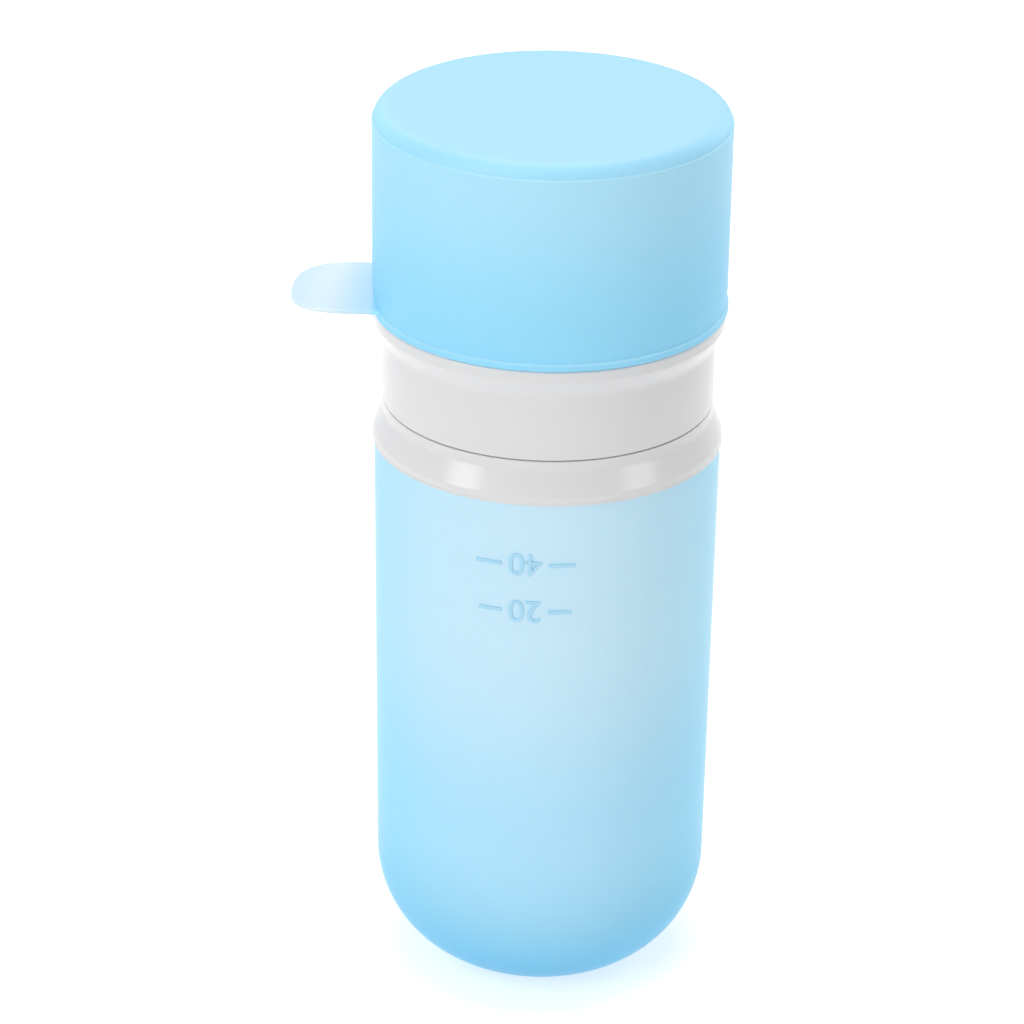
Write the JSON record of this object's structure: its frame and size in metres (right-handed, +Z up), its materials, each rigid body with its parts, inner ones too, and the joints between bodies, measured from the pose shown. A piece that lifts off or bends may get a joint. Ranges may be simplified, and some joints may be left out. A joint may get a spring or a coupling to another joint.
{
  "type": "roll-on bottle",
  "caption": "Refillable roll-on bottle: soft squeeze body, rigid screw neck, screw-on roller head with a free ball, and a pull-off soft cap with a thin pull tab at its rim.",
  "frame": {"origin": "centre of the flat under the body, on the axis of the bottle", "axes": "+Z up the bottle's axis to the cap, -X towards the cap's pull tab, -Y to the side with the moulded marks"},
  "size_m": [0.0494, 0.0404, 0.1067],
  "materials": {
    "body_silicone": "frosted translucent light blue silicone",
    "cap_silicone": "satin light blue silicone",
    "seal_silicone": "matt milky silicone",
    "white_plastic": "satin white moulded plastic",
    "ball_plastic": "polished white plastic"
  },
  "bodies": {
    "bottle": {"bottle_body": "body_silicone", "neck_insert": "white_plastic", "neck_collar": "white_plastic"},
    "head_seal": {"head_gasket": "seal_silicone"},
    "roller_head": {"head_collar": "white_plastic", "ball_seat": "white_plastic", "ball_retainer": "white_plastic"},
    "ball": {"roller_ball": "ball_plastic"},
    "cap": {"cap_shell": "cap_silicone", "cap_seal": "seal_silicone"}
  },
  "joints": [
    {"name": "head_lift", "type": "slide", "parent": "bottle", "child": "head_seal", "axis": [0, 0, 1], "range_m": [0, 0.0085]},
    {"name": "head_turn", "type": "hinge", "parent": "head_seal", "child": "roller_head", "pos_m": [0, 0, 0.0723], "axis": [0, 0, 1], "range_deg": [0, 720]},
    {"name": "ball_roll", "type": "hinge", "parent": "roller_head", "child": "ball", "pos_m": [0, 0, 0.0896], "axis": [1, 0, 0], "continuous": true},
    {"name": "cap_lift", "type": "slide", "parent": "roller_head", "child": "cap", "axis": [0, 0, 1], "range_m": [0, 0.03]}
  ],
  "couplings": [
    {"joint": "head_lift", "follows": "head_turn", "m_per_rad": 0.00066845}
  ]
}
